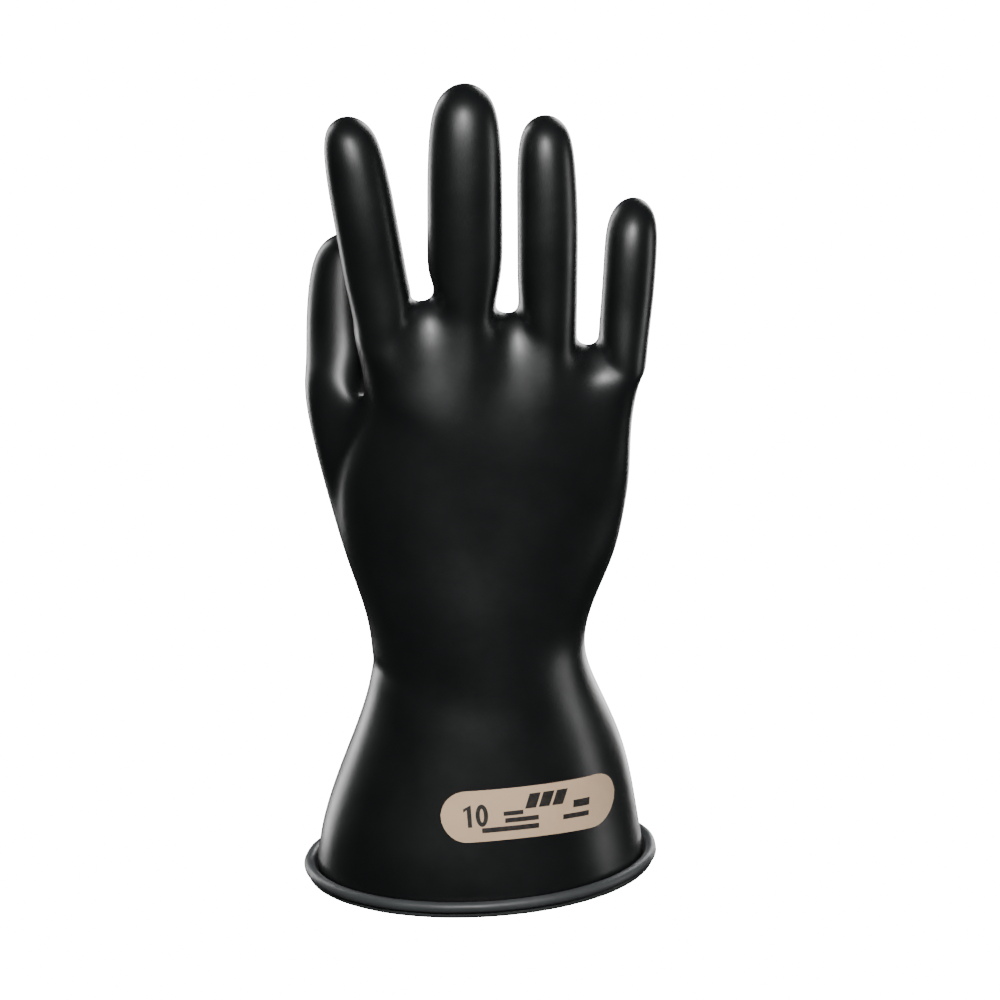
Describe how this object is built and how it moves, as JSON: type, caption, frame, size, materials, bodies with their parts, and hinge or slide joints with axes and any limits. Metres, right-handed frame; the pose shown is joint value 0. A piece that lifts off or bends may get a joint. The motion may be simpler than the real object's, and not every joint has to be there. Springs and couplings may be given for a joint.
{
  "type": "electrical insulating glove",
  "caption": "Right-hand black rubber insulating glove with separate fingers and thumb, a flared gauntlet cuff with a rolled bead, and a tan size label on the back of the cuff.",
  "frame": {"origin": "middle of the overall box on the plane the cuff bead rests on; the cuff's own centre is 4 mm to the thumb side of it", "axes": "+Z from the cuff to the fingertips, -Y out of the back of the hand, +Y out of the palm, -X toward the thumb side"},
  "size_m": [0.1305, 0.107, 0.2764],
  "materials": {
    "black_rubber": "smooth satin black dipped rubber",
    "bead_rubber": "rolled rubber bead, a little greyer and duller than the skin",
    "label_tan": "matt tan label bonded to the rubber",
    "label_ink": "matt black ink"
  },
  "bodies": {
    "cuff": {"gauntlet_cuff": "black_rubber", "cuff_bead": "bead_rubber", "cuff_label": "label_tan", "label_digit_1": "label_ink", "label_digit_0": "label_ink", "label_mark_1": "label_ink", "label_mark_2": "label_ink", "label_mark_3": "label_ink", "label_line_1": "label_ink", "label_line_2": "label_ink", "label_line_3": "label_ink", "label_line_4": "label_ink", "label_line_5": "label_ink", "wrist_flex": "black_rubber"},
    "hand": {"palm": "black_rubber", "thumb_base": "black_rubber", "knuckle_flex": "black_rubber", "thumb_flex": "black_rubber"},
    "fingers": {"finger_roots": "black_rubber", "index_flex": "black_rubber", "middle_flex": "black_rubber", "ring_flex": "black_rubber", "little_flex": "black_rubber"},
    "index_finger_end": {"index_end": "black_rubber"},
    "middle_finger_end": {"middle_end": "black_rubber"},
    "ring_finger_end": {"ring_end": "black_rubber"},
    "little_finger_end": {"little_end": "black_rubber"},
    "thumb": {"thumb_end": "black_rubber"}
  },
  "joints": [
    {"name": "wrist_bend", "type": "hinge", "parent": "cuff", "child": "hand", "pos_m": [-0.0011, 0, 0.078], "axis": [-1, 0, 0], "range_deg": [-35, 35], "stiffness_Nm_per_rad": 0.5, "deforming": ["wrist_flex"]},
    {"name": "knuckle_bend", "type": "hinge", "parent": "hand", "child": "fingers", "pos_m": [0.0023, 0, 0.1702], "axis": [-0.972, 0, 0.235], "range_deg": [-15, 20], "stiffness_Nm_per_rad": 0.15, "deforming": ["knuckle_flex"]},
    {"name": "index_bend", "type": "hinge", "parent": "fingers", "child": "index_finger_end", "pos_m": [-0.0335, 0.0008, 0.222], "axis": [-0.9934, 0, -0.115], "range_deg": [-15, 60], "stiffness_Nm_per_rad": 0.03, "deforming": ["index_flex"]},
    {"name": "middle_bend", "type": "hinge", "parent": "fingers", "child": "middle_finger_end", "pos_m": [-0.0011, 0.0009, 0.226], "axis": [-0.9987, 0, 0.05], "range_deg": [-15, 60], "stiffness_Nm_per_rad": 0.03, "deforming": ["middle_flex"]},
    {"name": "ring_bend", "type": "hinge", "parent": "fingers", "child": "ring_finger_end", "pos_m": [0.0269, 0.0011, 0.22], "axis": [-0.9992, 0, 0.041], "range_deg": [-15, 60], "stiffness_Nm_per_rad": 0.03, "deforming": ["ring_flex"]},
    {"name": "little_bend", "type": "hinge", "parent": "fingers", "child": "little_finger_end", "pos_m": [0.0548, 0.0016, 0.206], "axis": [-0.9937, 0, 0.112], "range_deg": [-15, 60], "stiffness_Nm_per_rad": 0.03, "deforming": ["little_flex"]},
    {"name": "thumb_bend", "type": "hinge", "parent": "hand", "child": "thumb", "pos_m": [-0.0403, 0.032, 0.185], "axis": [0, 1, 0], "range_deg": [-15, 35], "stiffness_Nm_per_rad": 0.03, "deforming": ["thumb_flex"]}
  ]
}
